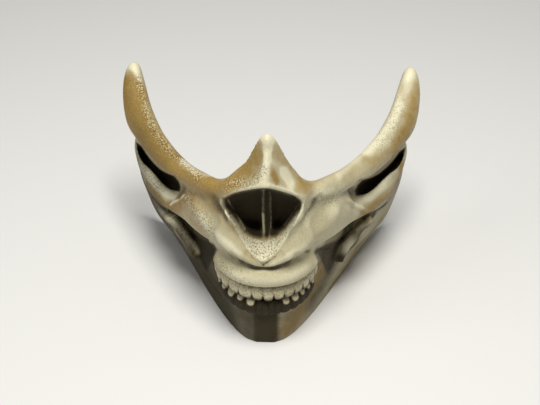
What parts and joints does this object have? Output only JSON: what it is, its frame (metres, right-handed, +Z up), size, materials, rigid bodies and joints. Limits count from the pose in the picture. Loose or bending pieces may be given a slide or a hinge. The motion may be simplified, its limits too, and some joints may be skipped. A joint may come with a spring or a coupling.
{
  "type": "skull mask",
  "caption": "Skull-shaped half-face mask with upswept cheek horns, a nose hollow and bared teeth, open behind for the wearer's lower face.",
  "frame": {"origin": "on the surface that the jaw's lower border stands on, under the middle of the mask's box", "axes": "+X to the mask's side that is on the right in the picture, -Y the way the face looks, +Z up from the jaw to the nose"},
  "size_m": [0.165, 0.1144, 0.142],
  "materials": {
    "shell_bone": "painted bone, cream rubbed with golden brown, satin on the ridges",
    "upper_teeth_ivory": "painted ivory with dark stain between the teeth",
    "lower_teeth_ivory": "painted ivory with dark stain between the teeth"
  },
  "bodies": {
    "root": {"face_shell": "shell_bone", "upper_teeth": "upper_teeth_ivory", "lower_teeth": "lower_teeth_ivory"}
  },
  "joints": []
}
